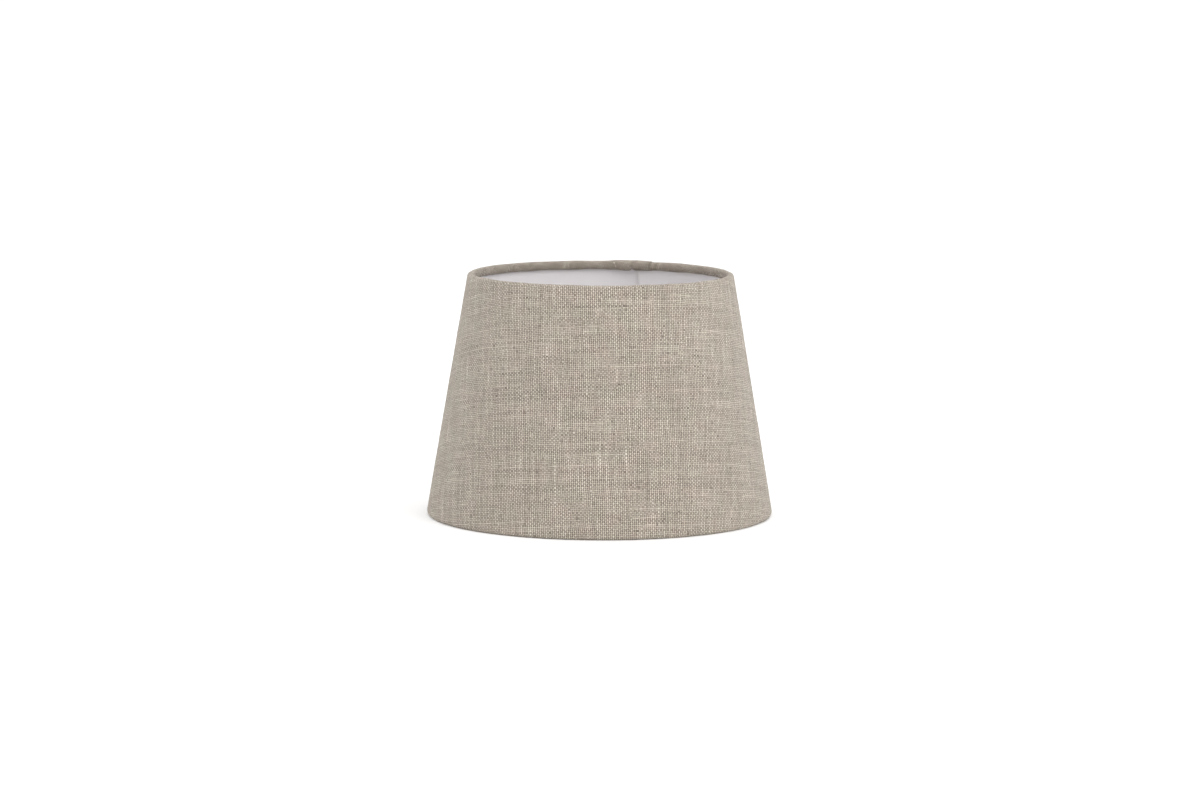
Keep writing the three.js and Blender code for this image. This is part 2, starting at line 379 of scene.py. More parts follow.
# In degrees of travel: how far before the full turn the outer end has fully risen over the
# inner one, and over how much travel each of the two ends rises or sinks.
LAP_LEAD = 4.5
LAP_SLOPE = 12.0

# How finely the linen is divided: steps round the shade, and points of its section.
LINEN_STATIONS = 470
OUTER_WALL_POINTS = 86
INNER_WALL_POINTS = 8
LOWER_ARC_POINTS = 22
UPPER_ARC_POINTS = 28
INNER_UPPER_ARC_POINTS = 14

# At the lap, the linen round each ring is pressed to a share of its thickness. Its outer end
# frays to a share of that, over the last degrees of travel.
PRESSED_SHARE = 0.42
UPPER_PRESSED_SHARE = 0.72
PRESSED_GAP = 0.06 * MILLIMETRE
FRAYED_SHARE = 0.55
FRAYED_TRAVEL = 1.6

# How far up the wall a ring's pull reaches, and how far round the lower ring a snip goes.
SHOULDER = 1.6 * MILLIMETRE
SNIP_END = 152.7

# The upper roll is pinched just before it comes over the inner end's edge: where, in degrees
# of travel, how widely and how deeply, and by what share its turn round the ring is shortened.
PINCH_LEAD = 1.7
PINCH_WIDTH = 0.8
PINCH_DEPTH = 0.8 * MILLIMETRE
PINCH_SHORTENING = 0.24

# The cover's waves, the depth of its thread bands and cockle, and its raised slubs.
WAVE = 0.16 * MILLIMETRE
RIPPLE = 0.08 * MILLIMETRE
THREAD_BAND = 0.04 * MILLIMETRE
COCKLE = 0.05 * MILLIMETRE
SLUB_COUNT = 90

# The rolls' puckers and finer creases, their rims' wave, and the lip at a snip's edge. Then
# the lower roll's share of the upper one's fullness, and how far the linen's outer end wanders
# to each side of a straight line, in radians.
PUCKER = 0.13 * MILLIMETRE
CREASE = 0.08 * MILLIMETRE
RIM_WAVE = 0.13 * MILLIMETRE
SNIP_LIP = 0.22 * MILLIMETRE
LOWER_HANG_SHARE = 0.35
RAGGED_END = 0.0016


def arm_directions(fitter):
    """The directions of the three arms, in radians."""
    return fitter.first + np.arange(3) * (2.0 * np.pi / 3.0)


def snip_travel(sizes, fitter):
    """Where the arms stand, in degrees of travel from the linen's inner end."""
    return np.degrees(sizes.seam - arm_directions(fitter)) % FULL_TURN


def overlying(travel):
    """How much a place on the strip belongs to the seam's outer end; travel is in degrees."""
    top = FULL_TURN - LAP_LEAD
    return smooth_step(travel, top - LAP_SLOPE, top)


def underlying(travel, lap):
    """How much it belongs to the inner end."""
    return 1.0 - smooth_step(travel, lap, lap + LAP_SLOPE)


def strip_travel(sizes, fitter, count):
    """Where the linen has its sections, in degrees of travel clockwise from its inner end,
    and which of them are at a snip. They are evenly spaced, but each snip gets its own edges."""
    lap = math.degrees(sizes.lap)
    travel = np.linspace(0.0, FULL_TURN + lap, count)
    half = math.degrees(math.asin(sizes.snip / 2.0 / sizes.lower_radius))
    arms = snip_travel(sizes, fitter)
    offsets = half * np.array([-1.9, -1.35, -1.08, -1.0, -0.4, 0.4, 1.0, 1.08, 1.35, 1.9])
    clear = np.abs(travel[:, None] - arms[None, :]).min(axis=1) > 2.1 * half
    travel = np.sort(np.concatenate([travel[clear], (arms[:, None] + offsets).ravel()]))
    snipped = np.abs(travel[:, None] - arms[None, :]).min(axis=1) < 1.001 * half
    return travel, snipped


def cover_wave(sizes, flat, travel, distance):
    """How far the stiffened cover bulges in or out of its true cone, in metres.

    Two sizes of patches, fading to nothing at the rings and at the linen's two lapped ends.
    """
    slow = patches(flat[..., 0] / 0.055, flat[..., 1] / 0.07, 11)
    quick = patches(flat[..., 0] / 0.021, flat[..., 1] / 0.034, 12)
    length_up = wall_length(sizes)
    near_ring = smooth_step(distance, 0.0, 0.03) * smooth_step(
        length_up - distance, 0.0, 0.03
    )
    lap = math.degrees(sizes.lap)
    near_seam = (1.0 - overlying(travel)) * (1.0 - underlying(travel, lap))
    return (WAVE * slow + RIPPLE * quick) * near_ring * near_seam


def slub_relief(flat):
    """The thick places of single threads, as long low ridges.

    Each is a height times exp(-d^2), with d the distance from its middle in its own length
    along its thread and in its own width across it. Half of them lie along each set.
    """
    random = np.random.default_rng(21)
    relief = np.zeros(flat.shape[:-1])
    reach = random.uniform(0.45, 0.6, SLUB_COUNT)
    opened = random.uniform(-0.61, 0.45, SLUB_COUNT)
    for number in range(SLUB_COUNT):
        middle = reach[number] * np.array([math.sin(opened[number]), math.cos(opened[number])])
        upright = number % 2
        ridge_length = random.uniform(0.005, 0.018)
        ridge_width = random.uniform(0.0009, 0.0016)
        height = random.uniform(0.05, 0.13) * MILLIMETRE
        along = bump(flat[..., upright], middle[upright], ridge_length)
        across = bump(flat[..., 1 - upright], middle[1 - upright], ridge_width)
        relief += height * along * across
    return relief


def linen_relief(flat):
    """The unevenness of the linen's face, in metres.

    It is the sum of patches stretched along the threads each way, which are thick and thin
    bands of threads, of round patches, which are a general cockle, and of the slubs.
    """
    u = flat[..., 0]
    v = flat[..., 1]
    bands = patches(u / 0.0031, v / 0.06, 31) + patches(u / 0.05, v / 0.0029, 32)
    cockle = patches(u / 0.009, v / 0.008, 33)
    return THREAD_BAND * bands + COCKLE * cockle + slub_relief(flat)


def linen_section(sizes):
    """The linen's closed section: climb, turn, whether each point is on the outer face, and
    how many of the first points lie where a snip may cut.

    It goes up the outer face, from the edge tucked in under the lower ring to the one tucked
    in at the upper ring, and back down the inner face. Both faces have the same turns round
    the lower ring.
    """
    up = wall_length(sizes)
    snip_end = math.radians(SNIP_END)
    tucked = np.linspace(-sizes.tuck, -snip_end, LOWER_ARC_POINTS // 2)
    open_side = np.linspace(-snip_end, 0.0, LOWER_ARC_POINTS - len(tucked) + 1)[1:]
    lower = np.concatenate([tucked, open_side])
    upper = np.linspace(0.0, sizes.tuck, UPPER_ARC_POINTS)
    upper_inner = np.linspace(sizes.tuck, 0.0, INNER_UPPER_ARC_POINTS)
    outer_wall = np.linspace(0.0, up, OUTER_WALL_POINTS + 2)[1:-1]
    inner_wall = np.linspace(up, 0.0, INNER_WALL_POINTS + 2)[1:-1]
    near = np.array([SHOULDER, 2.0 * SHOULDER])
    outer_wall = np.unique(np.concatenate([near / 2.0, outer_wall, up - near / 2.0]))
    inner_wall = np.concatenate([up - near, inner_wall, near[::-1]])
    inner_wall = np.sort(np.unique(inner_wall))[::-1]
    climb = np.concatenate(
        [
            np.zeros(len(lower)),
            outer_wall,
            np.full(len(upper), up),
            np.full(len(upper_inner), up),
            inner_wall,
            np.zeros(len(lower)),
        ]
    )
    turn = np.concatenate(
        [
            lower,
            np.zeros(len(outer_wall)),
            upper,
            upper_inner,
            np.zeros(len(inner_wall)),
            lower[::-1],
        ]
    )
    outer_count = len(lower) + len(outer_wall) + len(upper)
    outer = np.arange(len(climb)) < outer_count
    return climb, turn, outer, len(tucked)


def lap_layers(sizes, travel, at_lower, at_upper):
    """How far the linen's inner face stands from the ring centres, and the linen's thickness.

    The outer end rises over the inner one: by the lap's rise on the wall, and by less round
    the rings, where both ends are pressed thinner. It frays to a thin edge.
    """
    last = FULL_TURN + math.degrees(sizes.lap)
    over = overlying(travel)
    doubled = np.maximum(over, underlying(travel, math.degrees(sizes.lap)))
    rise = sizes.lap_rise * (1.0 - at_lower - at_upper) + sizes.roll_rise * at_upper
    rise = rise + at_lower * (sizes.linen * PRESSED_SHARE + PRESSED_GAP)
    thinned = at_lower * (1.0 - PRESSED_SHARE) + at_upper * (1.0 - UPPER_PRESSED_SHARE)
    frayed = smooth_step(travel, last - FRAYED_TRAVEL, last)
    thickness = sizes.linen * (1.0 - thinned * doubled)
    thickness = thickness * (1.0 - (1.0 - FRAYED_SHARE) * frayed)
    return sizes.roll - sizes.linen + over * rise, thickness


def roll_unevenness(sizes, travel, turn, turned_in):
    """How far the rolls stand in or out of true: puckers and finer creases where the linen is
    turned in, and a slow wave of the rim. All are patches along the ring and round its wire."""
    lap = math.degrees(sizes.lap)
    along = np.radians(travel) * sizes.upper_radius
    bent_by = np.abs(turn)
    side = 40.0 * np.sign(turn)
    pucker = PUCKER * patches(along / 0.0055, side + bent_by / 1.6, 41)
    pucker = pucker + CREASE * patches(along / 0.0021, side + bent_by / 1.2, 42)
    rim = RIM_WAVE * patches(along / 0.009, side, 43)
    rim = rim * smooth_step(bent_by, 0.0, np.radians(50.0))
    return (pucker * turned_in + rim) * smooth_step(travel, lap, lap + 3.0)


def linen_surface(sizes, fitter):
    """Points, flat coordinates and roll shares of the linen, a row for each section. The roll
    shares are raised at the pinch and give the painted shade of the rolls.

    Each point stands out by its layer's place, plus the relief on the outer face, the cover's
    wave and the rolls' unevenness. The rolls are fuller towards their tucked edges, and at the
    snips' edges. At the pinch, the upper roll dips and its turn round the ring is shortened,
    by exp(-d^2) of the travel from there.
    """
    climb, turn, outer, tucked = linen_section(sizes)
    travel, snipped = strip_travel(sizes, fitter, LINEN_STATIONS)
    travel = travel[:, None]
    lap = math.degrees(sizes.lap)
    distance = (climb + sizes.roll * turn)[None, :]
    direction = sizes.seam - np.radians(travel)
    flat = flat_coordinates(sizes, direction, distance, bpy.context.scene.cloth_look.grain)

    at_lower = 1.0 - smooth_step(climb, 0.0, SHOULDER)
    at_upper = 1.0 - smooth_step(wall_length(sizes) - climb, 0.0, SHOULDER)
    turned_in = smooth_step(np.abs(turn), np.radians(60.0), np.radians(150.0))
    inner_out, thickness = lap_layers(sizes, travel, at_lower, at_upper)
    uncovered = smooth_step(travel, lap + 0.5, lap + 2.0)
    relief = linen_relief(flat) * (1.0 - 0.5 * turned_in) * uncovered
    out = inner_out + np.where(outer, thickness + relief, 0.0)
    out = out + cover_wave(sizes, flat, travel, distance)
    out = out + roll_unevenness(sizes, travel, turn, turned_in)

    fullness = smooth_step(np.abs(turn), np.radians(150.0), np.radians(240.0))
    out = out + sizes.hang * fullness * np.where(turn > 0.0, 1.0, LOWER_HANG_SHARE)
    from_snip = np.abs(travel - snip_travel(sizes, fitter)).min(axis=1)[:, None]
    out = out + SNIP_LIP * bump(from_snip, 1.1, 0.9) * at_lower * turned_in
    pinch = bump(travel, FULL_TURN - PINCH_LEAD, PINCH_WIDTH) * at_upper
    out = out - PINCH_DEPTH * pinch * turned_in
    tucked_side = smooth_step(turn, np.radians(140.0), np.radians(200.0))
    shortened = turn * (1.0 - PINCH_SHORTENING * pinch * tucked_side)

    radius, height = section_points(sizes, climb, shortened, out)
    last = FULL_TURN + lap
    ragged = RAGGED_END * patches(distance / 0.006, 0.0, 44)
    ragged = ragged * smooth_step(travel, last - 1.5, last)
    points = round_the_shade(radius, np.maximum(height, 0.0), direction + ragged)
    # The roll share is raised at the pinch, where the linen's material paints a shadow.
    return points, flat, turned_in * (1.0 + pinch), snipped, tucked


def linen_faces(rows, columns, snipped, tucked):
    """The linen's quads, with the snips cut out of its turned-in edge and walled, and its ends.

    Outer point j and inner point columns - 1 - j lie opposite each other round the lower
    ring, so a wall joins the two faces along each side and the bottom of a snip.
    """
    faces = grid_faces(rows, columns, False, True)
    cut_rows = snipped[:-1] & snipped[1:]
    cut_columns = np.zeros(columns, dtype=bool)
    cut_columns[: tucked - 1] = True
    cut_columns[columns - tucked :] = True
    keep = ~(cut_rows[:, None] & cut_columns[None, :])
    walls = []
    j = np.arange(tucked - 1)
    for row in np.flatnonzero(cut_rows & ~np.roll(cut_rows, 1)):
        base = row * columns
        first = [base + j, base + j + 1, base + columns - 2 - j, base + columns - 1 - j]
        walls.append(np.stack(first, axis=-1))
    for row in np.flatnonzero(cut_rows & ~np.roll(cut_rows, -1)) + 1:
        base = row * columns
        second = [base + j + 1, base + j, base + columns - 1 - j, base + columns - 2 - j]
        walls.append(np.stack(second, axis=-1))
    base = np.flatnonzero(cut_rows) * columns
    low = tucked - 1
    high = columns - tucked
    floor_of_snip = [base + low, base + columns + low, base + columns + high, base + high]
    walls.append(np.stack(floor_of_snip, axis=-1))
    return faces[keep], np.concatenate(walls)


def build_linen(context):
    """The linen cover, one closed piece with its snips and both cut ends."""
    sizes = context.scene.shade_sizes
    surface = linen_surface(sizes, context.scene.fitter_sizes)
    points, flat, rolled, snipped, tucked = surface
    rows, columns = points.shape[:2]
    quads, walls = linen_faces(rows, columns, snipped, tucked)
    first_end = np.arange(columns)[::-1]
    last_end = (rows - 1) * columns + np.arange(columns)
    used, parts = without_spare_points(
        points.reshape(-1, 3), [quads, walls, first_end, last_end]
    )
    faces = [*parts[0].tolist(), *parts[1].tolist(), parts[2].tolist(), parts[3].tolist()]
    linen = new_piece(
        "linen_cloth",
        points.reshape(-1, 3)[used],
        faces,
        linen_material(context.scene.cloth_look),
        ["linen_cover"],
        uv=flat.reshape(-1, 2)[used],
        flat_from=len(parts[0]),
    )
    # Roll shares, for the linen's painted shade in the rolls and its painted shadow at the pinch.
    layer = linen.data.attributes.new(ROLL_AND_PINCH_SHADE, "FLOAT", "POINT")
    layer.data.foreach_set("value", rolled.ravel()[used].astype(np.float32))


def sheet_strip(sizes, travel, climb, inner, outer, inner_points):
    """Points of a thin sheet on the wall, from its outer face up and its inner face down."""
    outer_climb = np.linspace(climb[0], climb[1], 6)
    inner_climb = np.linspace(climb[1], climb[0], inner_points)
    up = np.concatenate([outer_climb, inner_climb])
    on_outer = np.arange(len(up)) < len(outer_climb)
    direction = (sizes.seam - np.radians(travel))[:, None]
    flat = flat_coordinates(sizes, direction, up[None, :], bpy.context.scene.cloth_look.grain)
    rise = sizes.lap_rise * overlying(travel)[:, None]
    out = np.where(on_outer, outer, inner) + rise
    out = out + cover_wave(sizes, flat, travel[:, None], up[None, :])
    radius, height = section_points(sizes, up[None, :], 0.0, out)
    return round_the_shade(radius, height, direction), flat


def strip_piece(name, points, flat, material, stands_for):
    """A closed piece from a strip of sections, with an end face on each end."""
    rows, columns = points.shape[:2]
    quads = grid_faces(rows, columns, False, True).reshape(-1, 4)
    first_end = np.arange(columns)[::-1].tolist()
    last_end = ((rows - 1) * columns + np.arange(columns)).tolist()
    return new_piece(
        name,
        points.reshape(-1, 3),
        [*quads.tolist(), first_end, last_end],
        material,
        stands_for,
        uv=flat.reshape(-1, 2),
        flat_from=len(quads),
    )


def build_lining(context):
    """The white lining sheet behind the linen."""
    sizes = context.scene.shade_sizes
    edge = SHOULDER + 0.2 * MILLIMETRE
    climb = (edge, wall_length(sizes) - edge)
    outer = sizes.roll - sizes.linen - sizes.laminate
    travel = np.linspace(0.0, FULL_TURN + math.degrees(sizes.lap), 300)
    points, flat = sheet_strip(sizes, travel, climb, outer - sizes.lining, outer, 60)
    material = lining_material(context.scene.finish_look)
    return strip_piece("lining_sheet", points, flat, material, ["lining_panel"])


def build_seam_tape(context):
    """The strip of double-sided tape inside the lap."""
    sizes = context.scene.shade_sizes
    edge = SHOULDER + 3.0 * MILLIMETRE
    climb = (edge, wall_length(sizes) - edge)
    inset = 0.8
    travel = np.linspace(inset, math.degrees(sizes.lap) - inset, 12)
    inner = sizes.roll + 0.1 * MILLIMETRE
    points, flat = sheet_strip(sizes, travel, climb, inner, inner + 0.12 * MILLIMETRE, 40)
    material = tape_material(context.scene.finish_look)
    return strip_piece(
        "seam_tape_strip", points, flat, material, ["seam_tape"]
    )


# The rings, their tape and the fitter --------------------------------------------------------


def turned_piece(name, outline, count, material, stands_for, swell=None):
    """A closed outline of radius and height, turned once round the upright axis.

    A swell gives, for each direction, how much larger the outline is there than at first.
    """
    direction = np.linspace(0.0, 2.0 * np.pi, count, endpoint=False)
    middle = outline.mean(axis=0)
    scale = np.ones(count) if swell is None else swell(direction)
    grown = middle + (outline - middle)[None] * scale[:, None, None]
    points = round_the_shade(grown[..., 0], grown[..., 1], -direction[:, None])
    faces = grid_faces(count, len(outline), True, True).reshape(-1, 4)
    return new_piece(
        name, points.reshape(-1, 3), faces.tolist(), material, stands_for
    )


def circle_outline(radius, height, size, points):
    """A circle of radius and height round a centre."""
    around = np.linspace(0.0, 2.0 * np.pi, points, endpoint=False)
    return np.stack([radius + size * np.cos(around), height + size * np.sin(around)], axis=-1)


def butt_weld(direction):
    """A ring's wire is a little thicker where its two ends were welded together."""
    return 1.0 + 0.07 * bump(np.abs(direction - np.pi), 0.0, 0.016)


def build_rings(context):
    """The two wire rings, each with its butt weld."""
    sizes = context.scene.shade_sizes
    material = steel_material(context.scene.finish_look)
    for end in ("top", "bottom"):
        radius, height = ring_centre(sizes, end)
        outline = circle_outline(radius, height, sizes.wire, 24)
        turned_piece(
            f"{end}_ring_wire",
            outline,
            288,
            material,
            [f"{end}_ring"],
            swell=butt_weld,
        )


def ring_centre(sizes, end):
    """Radius and height of the upper or lower ring's centre line."""
    if end == "top":
        return sizes.upper_radius, sizes.upper_height
    return sizes.lower_radius, sizes.lower_height


def build_ring_tapes(context):
    """The sticky tape on the outer side of each ring, under the linen."""
    sizes = context.scene.shade_sizes
    material = tape_material(context.scene.finish_look)
    inner = sizes.wire + 0.04 * MILLIMETRE
    outer = inner + 0.12 * MILLIMETRE
    for end, side in (("top", 1.0), ("bottom", -1.0)):
        radius, height = ring_centre(sizes, end)
        around = side * np.radians(np.linspace(-15.0, 135.0, 16))
        around = np.concatenate([around, around[::-1]])
        size = np.where(np.arange(len(around)) < 16, outer, inner)
        outline = np.stack(
            [radius + size * np.cos(around), height + size * np.sin(around)], axis=-1
        )
        if side < 0.0:
            outline = outline[::-1]
        turned_piece(
            f"{end}_ring_adhesive",
            outline,
            288,
            material,
            [f"{end}_ring_tape"],
        )


def build_fitter_ring(context):
    """The pressed ring: a flat washer whose rim is bent down into a flaring lip."""
    sizes = context.scene.fitter_sizes
    flare = 0.3 * MILLIMETRE
    rim = sizes.lip - flare
    under = sizes.top - sizes.sheet
    corners = [
        (sizes.hole, under),
        (rim - sizes.sheet, under),
        (sizes.lip - sizes.sheet, sizes.foot),
        (sizes.lip, sizes.foot),
        (rim, sizes.top),
        (sizes.hole, sizes.top),
    ]
    radii = np.array([0.16, 0.35, 0.2, 0.2, 1.25, 0.3]) * MILLIMETRE
    outline = rounded_outline(corners, radii)
    material = steel_material(context.scene.finish_look)
    turned_piece(
        "fitter_ring_pressed", outline, 192, material, ["fitter_ring"]
    )


def arm_path(shade, fitter, count):
    """An arm's centre line, as distance out and height: straight from the lower ring up to a
    bend, then level to the fitter's lip. The bend is a quadratic curve between the straights:
    (1-t)^2 of its start, 2t(1-t) of the corner and t^2 of its end."""
    lip = fitter.lip + 0.2 * MILLIMETRE
    level = (fitter.top + fitter.foot) / 2.0
    corner = np.array([lip + fitter.level, level])
    ring = np.array([shade.lower_radius, shade.lower_height])
    up_arm = (corner - ring) / np.linalg.norm(corner - ring)
    bend = 4.0 * MILLIMETRE
    ring_end = ring + up_arm * (shade.wire * 0.6)
    bend_start = corner - up_arm * bend
    bend_end = corner - np.array([bend, 0.0])
    lip_end = np.array([lip - 0.5 * MILLIMETRE, level])
    t = np.linspace(0.0, 1.0, 16)[:, None]
    curve = (1.0 - t) ** 2 * bend_start + 2.0 * t * (1.0 - t) * corner + t**2 * bend_end
    share_up = np.concatenate([np.linspace(0.0, 0.09, 18), np.linspace(0.1, 1.0, count)])
    straight = ring_end + (bend_start - ring_end) * share_up[:-1, None]
    level_end = bend_end + (lip_end - bend_end) * np.linspace(0.0, 1.0, 22)[1:, None]
    return np.concatenate([straight, curve, level_end])


def arm_thickness(fitter, run):
    """An arm's radius along its run: it swells into a weld bead at each end and closes there
    like the end of an ellipse."""
    total = run[-1]
    bead = 0.34 * bump(run, 1.2 * MILLIMETRE, 1.3 * MILLIMETRE)
    bead = bead + 0.3 * bump(total - run, 0.9 * MILLIMETRE, 0.8 * MILLIMETRE)
    close = 0.7 * MILLIMETRE
    near_end = np.clip(np.minimum(run, total - run) / close, 0.0, 1.0)
    return fitter.arm * (1.0 + bead) * np.sqrt(np.clip(1.0 - (1.0 - near_end) ** 2, 0.0, 1.0))


def build_arms(context):
    """The three wire arms, each with its welds to the lower ring and to the fitter's lip."""
    shade = context.scene.shade_sizes
    fitter = context.scene.fitter_sizes
    material = steel_material(context.scene.finish_look)
    path = arm_path(shade, fitter, 40)
    run = np.concatenate([[0.0], np.cumsum(np.linalg.norm(np.diff(path, axis=0), axis=1))])
    tangent = np.gradient(path, run, axis=0)
    tangent /= np.linalg.norm(tangent, axis=1, keepdims=True)
    thick = np.maximum(arm_thickness(fitter, run), 1e-5)
    sides = 24
    around = np.linspace(0.0, 2.0 * np.pi, sides, endpoint=False)[None, :]
    lumps = 1.0 + 0.05 * patches(run[:, None] / 0.0011, around * 2.0, 51) * bump(
        np.minimum(run, run[-1] - run), 0.0, 0.003
    )[:, None]
    across = thick[:, None] * lumps * np.cos(around)
    lift = thick[:, None] * lumps * np.sin(around)
    reach = path[:, :1] - tangent[:, 1:] * lift
    height = path[:, 1:] + tangent[:, :1] * lift
    faces = grid_faces(len(run), sides, False, True).reshape(-1, 4).tolist()
    first_end = list(range(sides))[::-1]
    last_end = [(len(run) - 1) * sides + k for k in range(sides)]
    for number, direction in enumerate(arm_directions(fitter), start=1):
        x = reach * math.cos(direction) - across * math.sin(direction)
        y = reach * math.sin(direction) + across * math.cos(direction)
        points = np.stack([x, y, height], axis=-1).reshape(-1, 3)
        new_piece(
            f"fitter_arm_wire_{number}",
            points,
            [*faces, first_end, last_end],
            material,
            [f"fitter_arm_{number}"],
        )


# Materials -----------------------------------------------------------------------------------


class Recipe:
    """Adds nodes to one material: each call makes a node, joins its inputs and returns an
    output socket."""

    def __init__(self, name):
        self.material = bpy.data.materials.new(name)
        self.material.use_nodes = True
        self.tree = self.material.node_tree
        self.tree.nodes.clear()
        self.shader = self.tree.nodes.new("ShaderNodeBsdfPrincipled")
        output = self.tree.nodes.new("ShaderNodeOutputMaterial")
        self.tree.links.new(self.shader.outputs["BSDF"], output.inputs["Surface"])

    def feed(self, socket, value):
        """Joins a socket to another, or sets its number or colour."""
        if isinstance(value, bpy.types.NodeSocket):
            self.tree.links.new(value, socket)
        else:
            socket.default_value = value

    def shade(self, **values):
        """Feeds the shader's inputs, named with underscores for spaces."""
        for name, value in values.items():
            self.feed(self.shader.inputs[name.replace("_", " ")], value)

    def calc(self, operation, *values):
        """A Math node."""
        node = self.tree.nodes.new("ShaderNodeMath")
        node.operation = operation
        for socket, value in zip(node.inputs, values):
            self.feed(socket, value)
        return node.outputs[0]

    def vector(self, operation, *values):
        """A Vector Math node."""
        node = self.tree.nodes.new("ShaderNodeVectorMath")
        node.operation = operation
        for socket, value in zip(node.inputs, values):
            self.feed(socket, value)
        return node.outputs[0]

    def sway(self, total, noise, weight):
        """A total, plus a weight times how far a noise is from a half."""
        return self.calc("MULTIPLY_ADD", self.calc("SUBTRACT", noise, 0.5), weight, total)

    def split(self, vector):
        """The three parts of a vector."""
        node = self.tree.nodes.new("ShaderNodeSeparateXYZ")
        self.feed(node.inputs[0], vector)
        return node.outputs

    def join(self, x, y, z=0.0):
        """A vector from its parts."""
        node = self.tree.nodes.new("ShaderNodeCombineXYZ")
        for socket, value in zip(node.inputs, (x, y, z)):
            self.feed(socket, value)
        return node.outputs[0]

    def pattern(self):
        """The piece's own flat coordinates, in metres."""
        node = self.tree.nodes.new("ShaderNodeUVMap")
        node.uv_map = FLAT_PATTERN
        return node.outputs[0]

    def attribute(self, name):
        """A number kept at each of the piece's points."""
        node = self.tree.nodes.new("ShaderNodeAttribute")
        node.attribute_name = name
        return node.outputs["Fac"]

    def place(self):
        """The place on the object, in metres."""
        return self.tree.nodes.new("ShaderNodeTexCoord").outputs["Object"]

    def noise(self, vector, scale, detail=2.0, roughness=0.5, flat=False):
        """Smooth noise, with the mean near a half."""
        node = self.tree.nodes.new("ShaderNodeTexNoise")
        node.noise_dimensions = "2D" if flat else "3D"
        self.feed(node.inputs["Vector"], vector)
        node.inputs["Scale"].default_value = scale
        node.inputs["Detail"].default_value = detail
        node.inputs["Roughness"].default_value = roughness
        return node.outputs[0]

    def drift(self, vector, scale, reach):
        """A place, moved smoothly by up to about half of reach each way."""
        node = self.tree.nodes.new("ShaderNodeTexNoise")
        node.noise_dimensions = "2D"
        node.inputs["Scale"].default_value = scale
        node.inputs["Detail"].default_value = 3.0
        self.feed(node.inputs["Vector"], vector)
        moved = self.vector("SUBTRACT", node.outputs["Color"], (0.5, 0.5, 0.5))
        moved = self.vector("MULTIPLY", moved, (reach, reach, 0.0))
        return self.vector("ADD", vector, moved)

    def speckle(self, vector):
        """A random number for each different vector."""
        node = self.tree.nodes.new("ShaderNodeTexWhiteNoise")
        node.noise_dimensions = "2D"
        self.feed(node.inputs["Vector"], vector)
        return node.outputs[0]

    def fit(self, value, low, high, to_low=0.0, to_high=1.0, kind="LINEAR"):
        """A Map Range node."""
        node = self.tree.nodes.new("ShaderNodeMapRange")
        node.interpolation_type = kind
        for socket, number in zip(node.inputs, (value, low, high, to_low, to_high)):
            self.feed(socket, number)
        return node.outputs[0]

    def blend(self, share_of_second, first, second, kind="MIX"):
        """A Mix node for colours."""
        node = self.tree.nodes.new("ShaderNodeMix")
        node.data_type = "RGBA"
        node.blend_type = kind
        self.feed(node.inputs[0], share_of_second)
        self.feed(node.inputs[6], first)
        self.feed(node.inputs[7], second)
        return node.outputs[2]

    def ramp(self, value, stops):
        """A Color Ramp node, from pairs of a position and a colour."""
        node = self.tree.nodes.new("ShaderNodeValToRGB")
        elements = node.color_ramp.elements
        while len(elements) < len(stops):
            elements.new(0.5)
        for element, (position, tint) in zip(elements, stops):
            element.position = position
            element.color = tint
        self.feed(node.inputs[0], value)
        return node.outputs[0]

    def relief(self, height, distance, strength=1.0, normal=None):
        """A Bump node."""
        node = self.tree.nodes.new("ShaderNodeBump")
        node.inputs["Strength"].default_value = strength
        node.inputs["Distance"].default_value = distance
        self.feed(node.inputs["Height"], height)
        if normal is not None:
            self.feed(node.inputs["Normal"], normal)
        return node.outputs[0]


def opaque(tint):
    """A colour property as four numbers."""
    return (*tint, 1.0)


def dimmed(tint, *shares):
    """A colour property with each of its parts multiplied by a share, as four numbers."""
    return opaque(part * share for part, share in zip(tint, shares))


# The weave's height in a gap and on the highest crest, in half widths of a thread.
GAP_HEIGHT = -0.35
CREST_HEIGHT = 1.2


def thread_parts(recipe, across, along, sign):
    """One set of threads of the weave: each thread's number, its height and its tone.

    Threads are numbered by the whole part of across. A thread's section is a parabola, and
    along its run it rises and falls as a cosine, over one crossing thread and under the next.
    Its thickness and tone change slowly along it, and now and then it swells to a slub.
    """
    number = recipe.calc("FLOOR", across)
    place = recipe.calc("SUBTRACT", recipe.calc("FRACT", across), 0.5)
    thread_seed = recipe.calc("MULTIPLY", number, 7.31 * sign)
    slow = recipe.noise(
        recipe.join(thread_seed, recipe.calc("MULTIPLY", along, 0.045)), 1.0, 0.0, flat=True
    )
    quick = recipe.noise(
        recipe.join(thread_seed, recipe.calc("MULTIPLY", along, 0.45)), 1.0, 1.0, flat=True
    )
    streak = recipe.noise(
        recipe.join(thread_seed, recipe.calc("MULTIPLY", along, 0.028)), 1.0, 1.0, flat=True
    )
    slub = recipe.fit(slow, 0.77, 0.9, kind="SMOOTHSTEP")
    width = recipe.calc(
        "ADD", recipe.fit(quick, 0.2, 0.8, 0.7, 0.98), recipe.calc("MULTIPLY", slub, 0.15)
    )
    offset = recipe.calc("DIVIDE", recipe.calc("MULTIPLY", place, 2.0), width)
    profile = recipe.calc("SUBTRACT", 1.0, recipe.calc("MULTIPLY", offset, offset))
    phase = recipe.calc("ADD", recipe.calc("SUBTRACT", along, 0.5), number)
    wave = recipe.calc("COSINE", recipe.calc("MULTIPLY", phase, math.pi))
    height = recipe.calc("MULTIPLY_ADD", wave, 0.42 * sign, profile)
    height = recipe.calc("MULTIPLY_ADD", slub, 0.15, height)
    tone = recipe.sway(0.0, recipe.speckle(recipe.join(thread_seed, 3.7)), 0.1)
    tone = recipe.sway(tone, streak, 0.62)
    tone = recipe.sway(tone, quick, 0.14)
    tone = recipe.calc("MULTIPLY_ADD", slub, 0.1, tone)
    return number, height, tone


